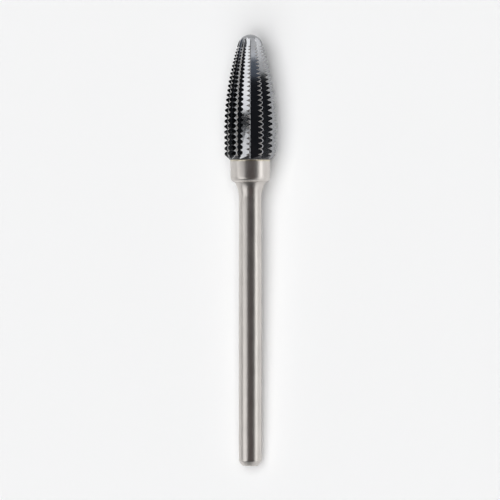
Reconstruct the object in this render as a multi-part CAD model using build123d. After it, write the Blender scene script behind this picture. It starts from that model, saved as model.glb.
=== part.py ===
from build123d import *
import math
import os

# A carbide burr for a straight handpiece: a solid carbide head with cross-cut blades,
# brazed to the collar of a turned steel shank. Millimetres.
# Each piece is shaped in the burr's own frame, whose Z axis runs along the burr, from
# the free end of the shank at zero to the nose. The burr then lies on level ground as
# it comes to rest, on the rim of its shank and on the teeth of two neighbouring blades.

# Lengths along the axis
overall_length = 44.5
joint_height = 31.5
braze_thickness = 0.08

# Shank
shank_radius = 1.175
end_flat_radius = 0.8
end_chamfer_height = 0.5
end_rounding = 0.22
relief_start = 21.0
relief_end = 23.3
neck_radius = 1.158
neck_rounding = 3.2
flare_start = 27.62
flare_radius = 1.6
ledge_slope = 23.0
collar_radius = 2.05
collar_rounding = 0.5

# Head envelope, through the cutting edges
head_radius = 2.68
heel_radius = 2.64
heel_bevel = 45.0
nose_curve_start = 34.4
nose_curve_radius = 30.0

# Blades: straight flutes of V section, with a narrow flat gullet and an undercut rake face
blade_count = 12
root_share = 0.811
undercut_angle = 2.8
margin_angle = 1.0
gullet_flat = 0.12
stroke_end = 44.4

# Cross cut: one right-hand groove, wound like a thread, that parts the blades into teeth
notch_pitch = 0.565
first_notch = 32.165
lowest_notch = 31.9
last_notch = 43.35
groove_turns = 27
even_pitch_end = 36.5
pitch_shrink = 0.04
notch_depth_share = 0.113
notch_width_share = 0.68

# At rest: where the rim bears, and the angle that a blade's flat margin takes at the heel
bearing_rim_height = 0.565
heel_margin = 2.4

blade_angle = 360 / blade_count
steel_end = joint_height - braze_thickness
heel_height = joint_height + (heel_radius - collar_radius) * math.tan(math.radians(heel_bevel))
nose_curve_height = overall_length - nose_curve_start
nose_radius = (
    nose_curve_radius**2 - (nose_curve_radius - head_radius) ** 2 - nose_curve_height**2
) / (2 * (nose_curve_radius - nose_curve_height))


def along(radius, height, angle, length):
    """Gives the point a length away from a radius and height, in the plane through the axis."""
    step = math.radians(angle)
    return (radius + length * math.cos(step), height + length * math.sin(step))


def turned(outline):
    """Turns a closed outline of radius and height about the axis."""
    return revolve(Plane.XZ * make_face(outline), Axis.Z)


def shank():
    """The steel shank: a chamfered pin with a relieved neck that flares out into the collar."""
    flare_sweep = math.degrees(math.acos(1 - (flare_radius - neck_radius) / neck_rounding))
    ledge_width = collar_radius - flare_radius
    end = FilletPolyline(
        (0, 0),
        (end_flat_radius, 0),
        (shank_radius, end_chamfer_height),
        (shank_radius, relief_start),
        radius=end_rounding,
    )
    relief = Polyline((shank_radius, relief_start), (neck_radius, relief_end), (neck_radius, flare_start))
    flare = JernArc((neck_radius, flare_start), (0, 1), neck_rounding, -flare_sweep)
    ledge_height = (flare @ 1).Y
    collar = FilletPolyline(
        (flare_radius, ledge_height),
        (collar_radius, ledge_height + ledge_width * math.tan(math.radians(ledge_slope))),
        (collar_radius, steel_end),
        radius=collar_rounding,
    )
    top = Polyline((collar_radius, steel_end), (0, steel_end), (0, 0))
    return turned(end + relief + flare + collar + top)


def braze_joint():
    """The thin disc of silver braze between the collar and the head."""
    return Pos(0, 0, steel_end) * extrude(Circle(collar_radius), braze_thickness)


def head_blank():
    """The head before its flutes are ground: a bevelled heel, a near cylinder and a pointed arch."""
    arch_centre = head_radius - nose_curve_radius
    nose_centre = overall_length - nose_radius
    meeting_angle = math.degrees(math.atan2(nose_centre - nose_curve_start, -arch_centre))
    side = Polyline(
        (0, joint_height),
        (collar_radius, joint_height),
        (heel_radius, heel_height),
        (head_radius, nose_curve_start),
    )
    arch = ThreePointArc(
        (head_radius, nose_curve_start),
        along(arch_centre, nose_curve_start, meeting_angle / 2, nose_curve_radius),
        along(0, nose_centre, meeting_angle, nose_radius),
    )
    nose = ThreePointArc(
        arch @ 1,
        along(0, nose_centre, (meeting_angle + 90) / 2, nose_radius),
        (0, overall_length),
    )
    return turned(side + arch + nose + Line((0, overall_length), (0, joint_height)))


def flute_cutter():
    """One grinding stroke: a V held square to the plane through the axis and its root.

    The stroke runs straight over the heel, follows the arch and breaks out through the round nose.
    """
    root_radius = root_share * head_radius
    rake = math.radians(undercut_angle)
    land = math.radians(blade_angle + undercut_angle - margin_angle)
    rake_edge = Vector(head_radius * math.sin(rake), head_radius * math.cos(rake) - root_radius)
    land_edge = Vector(head_radius * math.sin(land), head_radius * math.cos(land) - root_radius)
    clear = 1.8 * rake_edge
    far = 1.12 * land_edge
    outline = Polyline((0, 0), far, (far.X, clear.Y), clear, close=True)
    section = make_face(outline)
    section = chamfer(section.vertices().sort_by_distance((0, 0, 0))[0], gullet_flat)
    start = joint_height - 1
    root_curve_radius = nose_curve_radius / root_share
    curve_sweep = math.degrees(math.asin((stroke_end - nose_curve_start) / root_curve_radius))
    heel = Line((root_radius, start), (root_radius, nose_curve_start))
    arch = JernArc(heel @ 1, heel % 1, root_curve_radius, curve_sweep)
    stroke = Plane.XZ * (heel + arch)
    across = Plane(origin=(root_radius, 0, start), x_dir=(0, 1, 0), z_dir=(0, 0, -1))
    return sweep(across * section, stroke)


def notch_height(turn):
    """Gives the height of the cross cut after some turns. Its pitch shrinks towards the nose."""
    even_turns = (even_pitch_end - first_notch) / notch_pitch
    if turn <= even_turns:
        return first_notch + notch_pitch * turn
    closing = 1 - math.exp(-pitch_shrink * (turn - even_turns))
    return even_pitch_end + notch_pitch / pitch_shrink * closing


def notch_cutter(turn):
    """One wedge of the cross cut, square to the edge line and slanted by the lead of the groove."""
    height = notch_height(turn)
    lean = math.asin(max(0, height - nose_curve_start) / nose_curve_radius)
    radius = head_radius - nose_curve_radius * (1 - math.cos(lean))
    pitch = (notch_height(turn + 0.5) - notch_height(turn - 0.5)) / math.cos(lean)
    depth = notch_depth_share * radius
    half_width = notch_width_share * pitch / 2
    opening = 1.6
    ahead = 0.11 * radius
    behind = 0.28 * radius
    wedge = Polyline(
        (0, -depth),
        (half_width * opening, depth * (opening - 1)),
        (-half_width * opening, depth * (opening - 1)),
        close=True,
    )
    lead = math.degrees(math.atan(pitch / (2 * math.pi * radius)))
    crest = Plane(origin=(radius, 0, height), x_dir=(-math.sin(lean), 0, math.cos(lean)), z_dir=(0, 1, 0))
    return crest * Rot(0, -lead, 0) * Pos(0, 0, -behind) * extrude(make_face(wedge), ahead + behind)


def notch_turns(blade):
    """Lists the turns at which the cross cut passes one blade, from the heel to the nose."""
    turns = [blade / blade_count + lap for lap in range(-1, groove_turns)]
    return [turn for turn in turns if lowest_notch < notch_height(turn) < last_notch]


def cutting_head():
    """The carbide head, with its flutes ground first and the cross cut after them."""
    flute = flute_cutter()
    flutes = [Rot(0, 0, blade_angle * blade - undercut_angle) * flute for blade in range(blade_count)]
    notches = [
        Rot(0, 0, blade_angle * blade) * notch_cutter(turn)
        for blade in range(blade_count)
        for turn in notch_turns(blade)
    ]
    return head_blank() - flutes - notches


def lie_down(pieces):
    """Lays the pieces on level ground with the nose along +Y, over the middle of their outline.

    Two blades share the load at the heel: one on the front of its margin, one on the back.
    """
    bearing_angle = (blade_angle - heel_margin) / 2
    drop = heel_radius * math.cos(math.radians(bearing_angle)) - shank_radius
    tilt = math.degrees(math.atan2(drop, heel_height - bearing_rim_height))
    laid = Rot(tilt - 90, 0, 0) * Rot(0, 0, blade_angle - bearing_angle)
    box = Compound(children=[laid * piece for piece in pieces.values()]).bounding_box()
    middle = box.center()
    return {name: Pos(-middle.X, -middle.Y, -box.min.Z) * laid * piece for name, piece in pieces.items()}


burr = lie_down({"shank": shank(), "braze_joint": braze_joint(), "cutting_head": cutting_head()})
os.makedirs("parts", exist_ok=True)
for name, piece in burr.items():
    export_step(piece, f"parts/{name}.step")
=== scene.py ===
"""Carbide burr for a straight handpiece: ground steel shank, silver braze and a cross-cut head.

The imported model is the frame. Each of its three solids is replaced by a finer piece on the same
measures: the shank is turned from its profile, the braze gets its uneven fillet, and the head gets
lightly broken edges and the true normals of its ground surfaces.
"""

import logging
import math
from collections.abc import Callable
from dataclasses import dataclass
from enum import Enum

import bpy
from mathutils import Matrix, Vector


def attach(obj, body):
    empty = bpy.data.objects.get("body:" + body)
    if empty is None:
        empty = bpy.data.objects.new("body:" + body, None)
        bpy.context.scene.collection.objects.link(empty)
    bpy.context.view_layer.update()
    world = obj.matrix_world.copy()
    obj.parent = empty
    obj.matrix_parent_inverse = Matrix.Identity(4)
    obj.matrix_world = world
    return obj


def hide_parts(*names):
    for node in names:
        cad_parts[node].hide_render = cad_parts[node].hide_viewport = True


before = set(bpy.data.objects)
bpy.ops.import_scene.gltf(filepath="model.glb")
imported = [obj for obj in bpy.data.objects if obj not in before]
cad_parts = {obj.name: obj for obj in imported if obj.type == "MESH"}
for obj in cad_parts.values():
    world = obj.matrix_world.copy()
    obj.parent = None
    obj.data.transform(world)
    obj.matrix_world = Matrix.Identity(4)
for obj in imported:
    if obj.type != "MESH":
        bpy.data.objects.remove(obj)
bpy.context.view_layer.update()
log = logging.getLogger("carbide_burr")

MM = 0.001
BODY = "root"

Point = tuple[float, float]
Color = tuple[float, float, float]


class Slot(Enum):
    """The record's material slots."""

    STEEL = "steel"
    BRAZE = "silver_braze"
    CARBIDE = "carbide"


class Ground(Enum):
    """The head's surfaces, by the material index that each one has."""

    FLUTE = 0
    NOTCH = 1
    HEEL = 2
    EDGE = 3


@dataclass(frozen=True)
class BurrAxis:
    """The burr's own frame as it lies at rest.

    Heights run along the axis from the free end of the shank to the nose. Angles go round the
    axis from the side that faces the camera, and grow to the camera's right.

    Attributes:
        end: The centre of the shank's end face, in millimetres.
        tilt: Degrees that the nose is above the level.
        roll: Degrees from straight up to the side that faces the camera.
    """

    end: tuple[float, float, float] = (0.0002, -22.2138, 1.1488)
    tilt: float = 2.522
    roll: float = 16.2

    @property
    def along(self) -> Vector:
        """Gives the unit vector from the shank's end to the nose."""
        tilt = math.radians(self.tilt)
        return Vector((0, math.cos(tilt), math.sin(tilt)))

    def outward(self, angle: float) -> Vector:
        """Gives the unit vector that points out from the axis.

        Args:
            angle: Degrees round the axis from the side that faces the camera.

        Returns:
            The direction, square to the axis.
        """
        turn = math.radians(angle + self.roll)
        tilt = math.radians(self.tilt)
        up = Vector((0, -math.sin(tilt), math.cos(tilt)))
        return Vector((1, 0, 0)) * math.sin(turn) + up * math.cos(turn)

    def place(self, height: float, radius: float = 0.0, angle: float = 0.0) -> Vector:
        """Gives a point of the frame.

        Args:
            height: Millimetres along the axis.
            radius: Millimetres out from the axis.
            angle: Degrees round the axis from the side that faces the camera.

        Returns:
            The point, in metres.
        """
        return (Vector(self.end) + self.along * height + self.outward(angle) * radius) * MM

    def stand(self, angle: float, lift: float = 0.0) -> Matrix:
        """Gives the turn whose Z axis points out from the burr and whose Y axis runs along it.

        Args:
            angle: Degrees round the axis from the side that faces the camera.
            lift: Degrees that the Z axis leans towards the nose.

        Returns:
            The rotation, as a 4 by 4 matrix.
        """
        lean = math.radians(lift)
        out = self.outward(angle) * math.cos(lean) + self.along * math.sin(lean)
        side = self.along.cross(self.outward(angle))
        return Matrix((side, out.cross(side), out)).transposed().to_4x4()

    def own_to_frame(self) -> Matrix:
        """Gives the way from the burr's own millimetres, with Z along the axis, to the frame.

        Returns:
            The matrix, as 4 by 4.
        """
        side = self.along.cross(self.outward(0))
        turn = Matrix((side, -self.outward(0), self.along)).transposed().to_4x4()
        return Matrix.Translation(self.place(0)) @ turn @ Matrix.Scale(MM, 4)


def deselect() -> None:
    """Leaves edit mode and deselects every object."""
    if bpy.context.object and bpy.context.object.mode != "OBJECT":
        bpy.ops.object.mode_set(mode="OBJECT")
    bpy.ops.object.select_all(action="DESELECT")


def arc(centre: Point, radius: float, start: float, stop: float, steps: int) -> list[Point]:
    """Gives the points of an arc in the plane of radius and height.

    Args:
        centre: The arc's centre, as radius and height.
        radius: The arc's radius.
        start: The first point's angle, in degrees.
        stop: The last point's angle, in degrees.
        steps: The number of chords.

    Returns:
        The points from start to stop.
    """
    angles = [math.radians(start + (stop - start) * step / steps) for step in range(steps + 1)]
    return [(centre[0] + radius * math.cos(a), centre[1] + radius * math.sin(a)) for a in angles]


@dataclass
class Graph:
    """Adds and links nodes in one node tree."""

    tree: bpy.types.NodeTree

    def add(self, kind: str, **inputs: object) -> bpy.types.Node:
        """Adds a node and sets or links its inputs.

        Args:
            kind: The node's type.
            inputs: A value or an output socket for each input, with spaces written as _.

        Returns:
            The node.
        """
        node = self.tree.nodes.new(kind)
        for name, value in inputs.items():
            self.feed(node.inputs[name.replace("_", " ")], value)
        return node

    def feed(self, socket: bpy.types.NodeSocket, value: object) -> None:
        """Links an output to a socket, or sets the socket to a value.

        Args:
            socket: The input to feed.
            value: An output socket, or a value of the input's kind. A colour has three parts.
        """
        if isinstance(value, bpy.types.NodeSocket):
            self.tree.links.new(value, socket)
        elif socket.type == "RGBA":
            socket.default_value = (*value, 1.0)
        else:
            socket.default_value = value

    def group(self, tree: bpy.types.NodeTree, **inputs: object) -> bpy.types.Node:
        """Places a node group and sets or links its inputs.

        Args:
            tree: The group.
            inputs: A value or an output socket for each input, with spaces written as _.

        Returns:
            The node that holds the group.
        """
        node = self.tree.nodes.new("ShaderNodeGroup")
        node.node_tree = tree
        for name, value in inputs.items():
            self.feed(node.inputs[name.replace("_", " ")], value)
        return node

    def noise(self, place: bpy.types.NodeSocket, stretch: Vector, detail: float) -> bpy.types.NodeSocket:
        """Adds a noise that is stretched along the axes.

        Args:
            place: The place to read it at.
            stretch: How many times it varies over a millimetre, along each axis.
            detail: The number of finer layers.

        Returns:
            The noise, about 0.5.
        """
        turned = self.add("ShaderNodeMapping", Vector=place, Scale=stretch)
        cloud = self.add("ShaderNodeTexNoise", Vector=turned.outputs[0], Scale=1.0, Detail=detail)
        return cloud.outputs[0]

    def ramp(self, value: bpy.types.NodeSocket, low: float, high: float) -> bpy.types.NodeSocket:
        """Spreads a value so that low becomes 0 and high becomes 1."""
        spread = self.add("ShaderNodeMapRange", Value=value, From_Min=low, From_Max=high)
        return spread.outputs[0]

    def blend(self, share: bpy.types.NodeSocket, first: Color, second: Color) -> bpy.types.NodeSocket:
        """Mixes two colours.

        Args:
            share: How much of the second colour there is, from 0 to 1.
            first: The first colour.
            second: The second colour.

        Returns:
            The mixed colour.
        """
        mix = self.tree.nodes.new("ShaderNodeMix")
        mix.data_type = "RGBA"
        self.feed(mix.inputs["Factor"], share)
        self.feed(mix.inputs[6], first)
        self.feed(mix.inputs[7], second)
        return mix.outputs[2]


@dataclass
class Effect:
    """A shader node group: what varies over a surface, from a place in the burr's own millimetres.

    Attributes:
        name: The group's name.
        lines: How the fine grinding lines vary over a millimetre, along each axis.
        cloud: How the broad mottle varies over a millimetre, along each axis.
        depth: The lines' depth, in millimetres.
    """

    name: str
    lines: tuple[float, float, float]
    cloud: tuple[float, float, float]
    depth: float

    def build(self) -> bpy.types.NodeTree:
        """Makes the group, once for all the finishes that share it.

        Returns:
            The group, which gives Lines and Mottle from 0 to 1 and a Normal.
        """
        if self.name in bpy.data.node_groups:
            return bpy.data.node_groups[self.name]
        tree = bpy.data.node_groups.new(self.name, "ShaderNodeTree")
        tree.interface.new_socket(name="Place", in_out="INPUT", socket_type="NodeSocketVector")
        for name, kind in (("Lines", "Float"), ("Mottle", "Float"), ("Normal", "Vector")):
            tree.interface.new_socket(name=name, in_out="OUTPUT", socket_type=f"NodeSocket{kind}")
        graph = Graph(tree)
        place = tree.nodes.new("NodeGroupInput").outputs["Place"]
        lines = graph.ramp(graph.noise(place, Vector(self.lines), 3.0), 0.3, 0.7)
        mottle = graph.ramp(graph.noise(place, Vector(self.cloud), 2.0), 0.35, 0.65)
        bump = graph.add("ShaderNodeBump", Strength=1.0, Distance=self.depth * MM, Height=lines)
        out = tree.nodes.new("NodeGroupOutput")
        for name, socket in (("Lines", lines), ("Mottle", mottle), ("Normal", bump.outputs[0])):
            graph.feed(out.inputs[name], socket)
        return tree


@dataclass(frozen=True)
class Finish:
    """One metal finish, from its effect and the ends of its ranges.

    Attributes:
        name: The material's name.
        effect: What varies over the surface.
        colors: The base colour in the clear and in the mottle.
        rough: The roughness between the lines and on them.
    """

    name: str
    effect: Effect
    colors: tuple[Color, Color]
    rough: Point

    def build(self, axis: BurrAxis) -> bpy.types.Material:
        """Makes the material.

        Args:
            axis: Where the burr lies, since the effect follows its axis.

        Returns:
            The material.
        """
        material = bpy.data.materials.new(self.name)
        material.use_nodes = True
        graph = Graph(material.node_tree)
        surface = material.node_tree.nodes["Principled BSDF"]
        own = axis.own_to_frame()
        place = graph.add("ShaderNodeMapping", Vector=graph.add("ShaderNodeTexCoord").outputs["Object"])
        place.vector_type = "TEXTURE"
        place.inputs["Location"].default_value = own.to_translation()
        place.inputs["Rotation"].default_value = own.to_euler()
        place.inputs["Scale"].default_value = own.to_scale()
        effect = graph.group(self.effect.build(), Place=place.outputs[0])
        rough = graph.add("ShaderNodeMapRange", Value=effect.outputs["Lines"])
        rough.inputs["To Min"].default_value, rough.inputs["To Max"].default_value = self.rough
        graph.feed(surface.inputs["Base Color"], graph.blend(effect.outputs["Mottle"], *self.colors))
        graph.feed(surface.inputs["Roughness"], rough.outputs[0])
        graph.feed(surface.inputs["Normal"], effect.outputs["Normal"])
        surface.inputs["Metallic"].default_value = 1.0
        return material


RINGS = Effect("ring_grinding", (0.35, 0.35, 16.0), (0.9, 0.9, 0.5), 0.0004)
STROKES = Effect("stroke_grinding", (26.0, 26.0, 1.1), (1.6, 1.6, 0.7), 0.0005)
FACETS = Effect("notch_grinding", (30.0, 30.0, 30.0), (3.0, 3.0, 3.0), 0.001)
FLOW = Effect("braze_flow", (5.0, 5.0, 9.0), (1.4, 1.4, 1.4), 0.004)

STEEL = Finish("ground_steel", RINGS, ((0.63, 0.597, 0.565), (0.57, 0.54, 0.512)), (0.3, 0.38))
BRAZE = Finish("silver_braze", FLOW, ((0.66, 0.61, 0.5), (0.5, 0.46, 0.37)), (0.28, 0.4))
FLUTE = Finish("carbide_flute", STROKES, ((0.34, 0.345, 0.355), (0.29, 0.295, 0.31)), (0.07, 0.12))
# The notch faces' higher roughness is their real satin grind. Their base colour, much paler than the flutes'
# carbide, is a painted highlight that stands in for the glints in the cross cut.
NOTCH = Finish("carbide_notch_painted_glint", FACETS, ((0.6, 0.585, 0.575), (0.5, 0.49, 0.485)), (0.35, 0.5))
# Painted shade: the heel's near-black base colour stands in for the shade on the heel cone, not for a colour
# of the carbide.
HEEL = Finish("heel_painted_shade", FACETS, ((0.1, 0.1, 0.105), (0.05, 0.05, 0.055)), (0.25, 0.4))
# Painted highlight: the broken edges get a paler copy of the carbide so that they glint brighter than the
# flutes.
EDGE = Finish("carbide_edge_painted_glint", FACETS, ((0.55, 0.55, 0.55), (0.48, 0.48, 0.49)), (0.12, 0.2))


def finished(piece: bpy.types.Object, node: str) -> bpy.types.Object:
    """Puts a piece in the place of the frame's node, on the burr's one body.

    Args:
        piece: The piece.
        node: The frame's node.

    Returns:
        The piece.
    """
    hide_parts(node)
    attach(piece, BODY)
    log.info("%s: %d faces", piece.name, len(piece.data.polygons))
    return piece


def turned(name: str, outline: list[Point], sides: int) -> bpy.types.Object:
    """Turns an outline about the Z axis: a disc is extruded and resized from point to point.

    Args:
        name: The piece's name.
        outline: The radius and height of each corner from one end to the other, in millimetres.
        sides: The number of faces round the axis.

    Returns:
        The piece, in millimetres, closed by a flat disc at each end.
    """
    deselect()
    radius, height = outline[0]
    place = (0, 0, height)
    bpy.ops.mesh.primitive_circle_add(vertices=sides, radius=radius, fill_type="NGON", location=place)
    piece = bpy.context.object
    piece.name = name
    bpy.ops.object.transform_apply()
    bpy.ops.object.mode_set(mode="EDIT")
    bpy.ops.mesh.select_all(action="SELECT")
    for (near, low), (far, high) in zip(outline, outline[1:]):
        bpy.ops.mesh.extrude_region_move(TRANSFORM_OT_translate={"value": (0, 0, high - low)})
        bpy.ops.transform.resize(value=(far / near, far / near, 1), center_override=(0, 0, high))
    bpy.ops.mesh.select_all(action="SELECT")
    bpy.ops.mesh.normals_make_consistent(inside=False)
    bpy.ops.object.mode_set(mode="OBJECT")
    return piece


@dataclass
class Studio:
    """A pale floor, softboxes round the burr and the camera above it.

    Attributes:
        axis: Where the burr lies.
        view: The millimetres that the picture spans.
        distance: The millimetres from the camera to the burr.
        middle: The height on the axis that the camera faces, and how far left of it, in millimetres.
    """

    axis: BurrAxis
    view: float = 51.58
    distance: float = 500.0
    middle: Point = (22.26, 0.026)

    def softbox(
        self,
        name: str,
        angle: float,
        lift: float,
        aim: float,
        distance: float,
        width: float,
        length: float,
        radiance: float,
        color: Color = (1.0, 1.0, 1.0),
    ) -> None:
        """Adds an area lamp that faces the axis and that the camera doesn't see.

        Args:
            name: The lamp's name.
            angle: Degrees round the axis from the side that faces the camera.
            lift: Degrees that it stands towards the nose, seen from its aim.
            aim: The height on the axis that it faces, in millimetres.
            distance: How far from there it stands, in millimetres.
            width: Its size round the axis, in millimetres.
            length: Its size along the axis, in millimetres.
            radiance: Its brightness, where 1 is white.
            color: Its tint.
        """
        light = bpy.data.lights.new(name, "AREA")
        light.color = color
        light.shape = "RECTANGLE"
        light.size = width * MM
        light.size_y = length * MM
        light.energy = radiance * math.pi * light.size * light.size_y
        lamp = bpy.data.objects.new(name, light)
        bpy.context.scene.collection.objects.link(lamp)
        stand = self.axis.stand(angle, lift)
        lamp.matrix_world = Matrix.Translation(self.axis.place(aim)) @ stand
        lamp.location += stand.col[2].to_3d() * distance * MM
        lamp.visible_camera = False
        lamp.visible_diffuse = False

    def strip(self, name: str, low: float, high: float, start: float, stop: float, radiance: float) -> None:
        """Adds a softbox beside the burr.

        Args:
            name: The lamp's name.
            low: The angle round the axis where it begins, in degrees.
            high: The angle where it ends.
            start: The height on the axis where it begins, in millimetres.
            stop: The height where it ends.
            radiance: Its brightness, where 1 is white.
        """
        distance = 200.0
        width = 2 * distance * math.tan(math.radians((high - low) / 2))
        self.softbox(name, (low + high) / 2, 0, (start + stop) / 2, distance, width, stop - start, radiance)

    def daylight(self, name: str, angle: float, lift: float, softness: float, radiance: float) -> None:
        """Adds an even light for matt surfaces, which metal doesn't mirror.

        Args:
            name: The lamp's name.
            angle: Degrees round the axis from the side that faces the camera.
            lift: Degrees that it stands towards the nose.
            softness: Its angular size, in degrees.
            radiance: How bright it makes white ground, where 1 is white.
        """
        light = bpy.data.lights.new(name, "SUN")
        light.angle = math.radians(softness)
        lamp = bpy.data.objects.new(name, light)
        bpy.context.scene.collection.objects.link(lamp)
        lamp.matrix_world = self.axis.stand(angle, lift)
        light.energy = radiance * math.pi / lamp.matrix_world.col[2].z
        lamp.visible_glossy = False

    def lamps(self) -> None:
        """Adds the softboxes that the metal mirrors, and the even light on the floor."""
        self.strip("left_shank", -80, -32, -150, 31, 1.4)
        self.strip("left_heel", -97, -66, 31, 40, 2.1)
        self.strip("left_head", -97, -66, 60, 260, 2.25)
        self.strip("right_shank", 46, 72, -150, 31, 1.25)
        self.strip("right_head", 56, 72, 31, 110, 2.0)
        self.strip("right_ahead", 38, 52, 110, 300, 0.9)
        self.softbox("low_ahead", -10, 23.5, 42, 220, 120, 36, 0.22, (0.8, 0.93, 1.15))
        self.softbox("ahead", 10, 37, 42, 220, 300, 70, 1.1)
        self.softbox("far_ahead", 20, 66, 42, 220, 300, 160, 2.0)
        self.softbox("overhead", 4, 0, -60, 200, 190, 180, 0.045, (1.3, 0.82, 0.66))
        self.daylight("key", -14, 6, 60, 0.66)
        self.daylight("fill", -16, -40, 60, 0.27)

    def camera(self) -> None:
        """Adds the long lens that looks down on the burr."""
        camera = bpy.data.cameras.new("camera")
        camera.lens = camera.sensor_width * self.distance / self.view
        camera.clip_start = 0.01
        camera.clip_end = 20
        rig = bpy.data.objects.new("camera", camera)
        bpy.context.scene.collection.objects.link(rig)
        target = self.axis.place(*self.middle, -90)
        rig.matrix_world = Matrix.Translation(target) @ self.axis.stand(0)
        rig.location += self.axis.outward(0) * self.distance * MM
        bpy.context.scene.camera = rig

    def floor(self) -> None:
        """Adds the pale matt floor."""
        deselect()
        bpy.ops.mesh.primitive_plane_add(size=6, location=(0, 0, 0))
        floor = bpy.context.object
        floor.name = "floor"
        material = bpy.data.materials.new("floor")
        material.use_nodes = True
        graph = Graph(material.node_tree)
        surface = material.node_tree.nodes["Principled BSDF"]
        graph.feed(surface.inputs["Base Color"], (0.93, 0.93, 0.93))
        graph.feed(surface.inputs["Roughness"], 0.9)
        graph.feed(surface.inputs["Specular IOR Level"], 0.1)
        floor.data.materials.append(material)

    def world(self) -> None:
        """Sets a sky that is pale at the horizon and dark overhead."""
        world = bpy.data.worlds.new("studio")
        world.use_nodes = True
        nodes, links = world.node_tree.nodes, world.node_tree.links
        place = nodes.new("ShaderNodeTexCoord")
        parts = nodes.new("ShaderNodeSeparateXYZ")
        ramp = nodes.new("ShaderNodeValToRGB")
        horizon, overhead = ramp.color_ramp.elements
        horizon.position, horizon.color = 0.06, (0.8, 0.8, 0.8, 1)
        overhead.position, overhead.color = 0.3, (0.022, 0.024, 0.028, 1)
        links.new(place.outputs["Generated"], parts.inputs[0])
        links.new(parts.outputs["Z"], ramp.inputs[0])
        links.new(ramp.outputs["Color"], nodes["Background"].inputs["Color"])
        bpy.context.scene.world = world

    def build(self) -> None:
        """Sets up the whole studio."""
        self.floor()
        self.world()
        self.lamps()
        self.camera()
        bpy.context.scene.view_settings.view_transform = "Standard"


@dataclass
class Shank:
    """The turned steel shank: a chamfered pin, a relieved neck and the collar, in millimetres.

    Attributes:
        axis: Where the burr lies.
        sides: The number of faces round the axis.
        pin: The pin's radius.
        neck: The neck's radius.
        flare: The flare's radius where it meets the collar's ledge.
        flare_rounding: The radius of the flare's curve.
        ledge: Degrees that the ledge under the collar slopes.
        collar: The collar's radius.
        rounding: The radius of the collar's lower edge.
    """

    axis: BurrAxis
    sides: int = 128
    pin: float = 1.175
    neck: float = 1.158
    flare: float = 1.6
    flare_rounding: float = 3.2
    ledge: float = 23.0
    collar: float = 2.05
    rounding: float = 0.5

    def outline(self) -> list[Point]:
        """Draws half of the shank's profile.

        Returns:
            The radius and height of each corner, from the free end to the braze.
        """
        sweep = math.degrees(math.acos(1 - (self.flare - self.neck) / self.flare_rounding))
        flare = arc((self.neck + self.flare_rounding, 27.62), self.flare_rounding, 180, 180 - sweep, 14)
        slope = math.radians(self.ledge)
        shoulder = flare[-1][1] + (self.collar - self.flare) * math.tan(slope)
        crest = self.rounding * math.tan(math.radians(90 - self.ledge) / 2)
        low = (self.collar - crest * math.cos(slope), shoulder - crest * math.sin(slope))
        edge = arc((self.collar - self.rounding, shoulder + crest), self.rounding, self.ledge - 90, 0, 10)
        return [
            (0.66, 0.0),
            *arc((0.69, 0.22), 0.22, -90, -36.87, 6),
            *arc((0.955, 0.5733), 0.22, -36.87, 0, 5),
            (self.pin, 0.62),
            (self.pin, 10.0),
            (self.pin, 21.0),
            (self.neck, 23.3),
            *flare,
            low,
            *edge[1:],
            (self.collar, 31.39),
            (self.collar - 0.03, 31.42),
        ]

    def build(self) -> bpy.types.Object:
        """Makes the shank.

        Returns:
            The finished piece.
        """
        shank = turned("steel_shank", self.outline(), self.sides)
        bpy.ops.object.shade_smooth_by_angle(angle=math.radians(18))
        shank.data.transform(self.axis.own_to_frame())
        shank.data.materials.append(STEEL.build(self.axis))
        return finished(shank, "shank")


@dataclass
class BrazeJoint:
    """The silver braze: a thin disc between collar and head, and the fillet that ran out round it.

    Attributes:
        axis: Where the burr lies.
        sides: The number of faces round the axis.
        unevenness: How far the fillet's surface wavers, in millimetres.
    """

    axis: BurrAxis
    sides: int = 96
    unevenness: float = 0.02

    def outline(self) -> list[Point]:
        """Draws half of the braze's profile.

        Returns:
            The radius and height of each corner, from the collar to the head.
        """
        return [
            (2.03, 31.42),
            (2.054, 31.39),
            (2.062, 31.43),
            (2.068, 31.49),
            (2.09, 31.535),
            (2.125, 31.56),
            (2.1, 31.565),
            (2.03, 31.5),
        ]

    def build(self) -> bpy.types.Object:
        """Makes the braze with its uneven fillet.

        Returns:
            The finished piece.
        """
        braze = turned("silver_braze", self.outline(), self.sides)
        clouds = bpy.data.textures.new("uneven", "CLOUDS")
        clouds.noise_scale = 0.6
        waves = braze.modifiers.new("uneven", "DISPLACE")
        waves.texture = clouds
        waves.strength = self.unevenness
        waves.mid_level = 0.5
        bpy.ops.object.modifier_apply(modifier="uneven")
        bpy.ops.object.shade_smooth_by_angle(angle=math.radians(40))
        braze.data.transform(self.axis.own_to_frame())
        braze.data.materials.append(BRAZE.build(self.axis))
        return finished(braze, "braze_joint")


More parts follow.
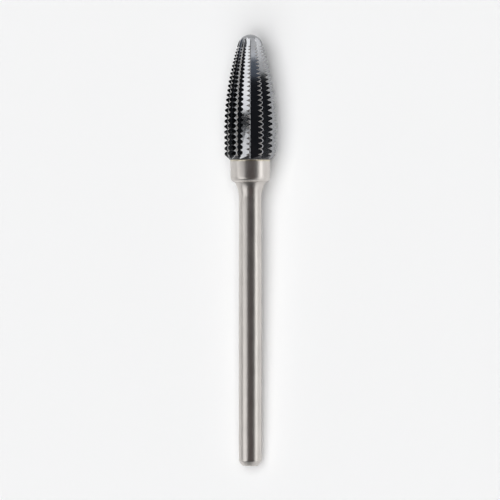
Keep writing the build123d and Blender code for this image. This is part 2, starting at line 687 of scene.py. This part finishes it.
@dataclass(frozen=True)
class HeadForm:
    """The head's ground surfaces, in the burr's own millimetres.

    Attributes:
        blades: The number of blades.
        head_radius: The radius at the cutting edges.
        root_share: The gullets' radius, as a share of the head's.
        undercut: Degrees that a rake face is undercut.
        margin: Degrees round the axis that a blade's crest has.
        curve_start: The height where the arch begins.
        curve_radius: The arch's radius.
        nose_centre: The height of the round nose's centre.
        nose_radius: The nose's radius.
        heel_apex: The height where the heel's 45 degree cone would meet the axis.
    """

    blades: int = 12
    head_radius: float = 2.68
    root_share: float = 0.811
    undercut: float = 2.8
    margin: float = 1.0
    curve_start: float = 34.4
    curve_radius: float = 30.0
    nose_centre: float = 43.2033
    nose_radius: float = 1.2967
    heel_apex: float = 29.45

    def faces(self) -> tuple[Point, Point, Point]:
        """Finds the normals across a grinding stroke.

        Returns:
            The rake face's, the land's and the gullet's, each as its sideways and its outward part.
        """
        root = self.root_share * self.head_radius
        rake = math.radians(self.undercut)
        land = math.radians(360 / self.blades + self.undercut - self.margin)
        up = Vector((math.sin(rake), math.cos(rake) - root / self.head_radius)).normalized()
        over = Vector((math.sin(land), math.cos(land) - root / self.head_radius)).normalized()
        across = (over - up).normalized()
        return (up.y, -up.x), (-over.y, over.x), (-across.y, across.x)

    def flute_normal(self, blade: int, face: Point, place: Vector) -> Vector:
        """Gives a flute's normal at a place on it, where the grinding stroke leans in with the arch.

        Args:
            blade: The blade whose rake face the flute has.
            face: The face's normal across the stroke.
            place: The place.

        Returns:
            The normal.
        """
        angle = math.radians(360 / self.blades * blade - self.undercut)
        out = Vector((math.cos(angle), math.sin(angle), 0))
        side = Vector((-out.y, out.x, 0))
        centre = self.root_share * self.head_radius - self.curve_radius / self.root_share
        lean = math.atan2(max(0.0, place.z - self.curve_start), place.dot(out) - centre)
        return side * face[0] + (out * math.cos(lean) + Vector((0, 0, math.sin(lean)))) * face[1]

    def surface(self, places: list[Vector], facet: Vector) -> Callable[[Vector], Vector]:
        """Finds the ground surface that a facet is part of.

        Args:
            places: The facet's corners.
            facet: The facet's normal.

        Returns:
            What gives the surface's normal at a place. A flat facet's is its own.
        """
        tip = Vector((0, 0, self.nose_centre))
        if all(abs((place - tip).length - self.nose_radius) < 0.01 for place in places):
            return lambda place: (place - tip).normalized()
        middle = sum(places, Vector()) / len(places)
        turns = [(blade, face) for blade in range(self.blades) for face in self.faces()]
        blade, face = max(turns, key=lambda turn: self.flute_normal(*turn, middle).dot(facet))
        if self.flute_normal(blade, face, middle).dot(facet) > 0.9985:
            return lambda place: self.flute_normal(blade, face, place)
        return lambda place: facet

    def kind(self, places: list[Vector], facet: Vector) -> Ground:
        """Tells which ground surface a facet is part of.

        The cross cut's flanks face along the burr. The heel is a cone that opens at 45 degrees.

        Args:
            places: The facet's corners.
            facet: The facet's normal.

        Returns:
            The kind of surface.
        """
        heights = [place.z for place in places]
        if all(abs(place.xy.length - place.z + self.heel_apex) < 0.012 for place in places):
            return Ground.HEEL
        steep = 0.78 if min(heights) < 32.6 else 0.5
        if abs(facet.z) > steep and 31.55 < min(heights) and max(heights) < 43.9:
            return Ground.NOTCH
        return Ground.FLUTE


@dataclass
class CuttingHead:
    """The carbide head: the frame's own solid with its ground edges broken.

    Attributes:
        axis: Where the burr lies.
        form: The head's ground surfaces.
        sliver: The length below which an edge is closed up, in millimetres.
        edge: The most that an edge is broken by, in millimetres.
    """

    axis: BurrAxis
    form: HeadForm = HeadForm()
    sliver: float = 0.012
    edge: float = 0.02

    def solid(self) -> bpy.types.Object:
        """Copies the frame's head and joins its triangles into whole faces.

        Returns:
            The copy.
        """
        deselect()
        head = bpy.data.objects.new("carbide_head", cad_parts["cutting_head"].data.copy())
        bpy.context.scene.collection.objects.link(head)
        bpy.context.view_layer.objects.active = head
        head.select_set(True)
        bpy.ops.object.mode_set(mode="EDIT")
        bpy.ops.mesh.customdata_custom_splitnormals_clear()
        bpy.ops.mesh.select_all(action="SELECT")
        bpy.ops.mesh.remove_doubles(threshold=0.0003 * MM)
        bpy.ops.mesh.dissolve_degenerate(threshold=self.sliver * MM)
        bpy.ops.mesh.dissolve_limited(angle_limit=math.radians(0.5))
        bpy.ops.mesh.normals_make_consistent(inside=False)
        bpy.ops.object.mode_set(mode="OBJECT")
        bpy.ops.object.shade_smooth()
        return head

    def mark(self, head: bpy.types.Object) -> None:
        """Gives each ground surface its own material.

        Args:
            head: The head.
        """
        head.data.materials.clear()
        for finish in (FLUTE, NOTCH, HEEL, EDGE):
            head.data.materials.append(finish.build(self.axis))
        own = self.axis.own_to_frame().inverted()
        turn = own.to_3x3().normalized()
        places = [own @ vertex.co for vertex in head.data.vertices]
        for face in head.data.polygons:
            corners = [places[index] for index in face.vertices]
            # The heel's finish is a painted shade, and the notch faces' paler colour is a painted highlight.
            face.material_index = self.form.kind(corners, turn @ face.normal).value

    def break_edges(self, head: bpy.types.Object) -> None:
        """Rounds every ground edge a little.

        Args:
            head: The head.
        """
        bevel = head.modifiers.new("edges", "BEVEL")
        bevel.width = self.edge * MM
        bevel.segments = 2
        bevel.limit_method = "ANGLE"
        bevel.angle_limit = math.radians(20)
        # The broken edges take the paler carbide finish, a painted glint.
        bevel.material = Ground.EDGE.value
        bpy.ops.object.modifier_apply(modifier="edges")

    def true_normals(self, head: bpy.types.Object) -> None:
        """Gives each corner the normal of the ground surface that it lies on.

        A broken edge's corners lean halfway between the surfaces that meet there.

        Args:
            head: The head.
        """
        own = self.axis.own_to_frame()
        back = own.inverted()
        turn = own.to_3x3().normalized()
        mesh = head.data
        places = [back @ vertex.co for vertex in mesh.vertices]
        shared = [Vector() for _ in mesh.vertices]
        normals = [Vector() for _ in mesh.loops]
        broken = [face for face in mesh.polygons if face.material_index == Ground.EDGE.value]
        for face in mesh.polygons:
            if face.material_index == Ground.EDGE.value:
                continue
            corners = [places[index] for index in face.vertices]
            normal_at = self.form.surface(corners, turn.transposed() @ face.normal)
            for loop, vertex in zip(face.loop_indices, face.vertices):
                normals[loop] = turn @ normal_at(places[vertex])
                shared[vertex] += normals[loop]
        for face in broken:
            for loop, vertex in zip(face.loop_indices, face.vertices):
                normals[loop] = shared[vertex] if shared[vertex].length > 0 else mesh.vertices[vertex].normal
        mesh.normals_split_custom_set([normal.normalized() for normal in normals])

    def build(self) -> bpy.types.Object:
        """Makes the head.

        Returns:
            The finished piece.
        """
        head = self.solid()
        self.mark(head)
        self.break_edges(head)
        self.true_normals(head)
        return finished(head, "cutting_head")


def main() -> None:
    """Builds the burr's pieces in order, then the studio."""
    logging.basicConfig(level=logging.INFO, format="%(message)s")
    axis = BurrAxis()
    for part in (Shank(axis), BrazeJoint(axis), CuttingHead(axis), Studio(axis)):
        part.build()


if __name__ == "__main__":
    main()
